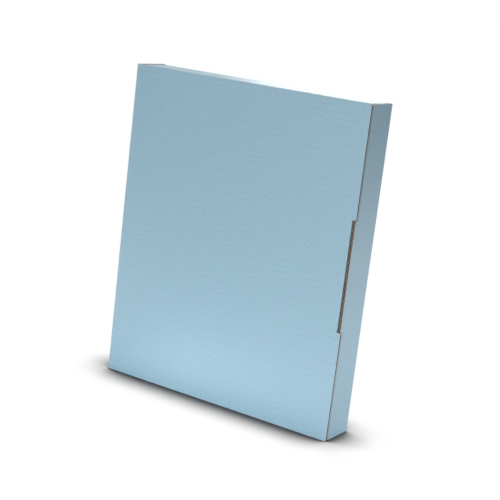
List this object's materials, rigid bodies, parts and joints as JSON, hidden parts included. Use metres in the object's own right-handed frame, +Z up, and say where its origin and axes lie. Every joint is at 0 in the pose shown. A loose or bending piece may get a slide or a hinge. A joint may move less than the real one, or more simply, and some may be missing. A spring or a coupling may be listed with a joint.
{
  "type": "one-piece folder box",
  "caption": "Flat folder box of corrugated board, cut and folded from one sheet, with flaps over its contents and a full lid whose tuck tab locks into a slot in the side wall",
  "frame": {"origin": "centre of the bottom of the bounding box, on the surface that the box stands on", "axes": "+X across the lid to its tuck tab, +Y from the lid's face to the back panel, +Z up"},
  "size_m": [0.2854, 0.046, 0.342],
  "materials": {
    "printed_board": "matte"
  },
  "bodies": {
    "tray": {"tray": "printed_board"},
    "lid": {"lid": "printed_board"}
  },
  "joints": [
    {"name": "lid_hinge", "type": "hinge", "parent": "tray", "child": "lid", "pos_m": [-0.14181, -0.02206, 0.1712], "axis": [0, 0, -1], "range_deg": [0, 120]}
  ]
}
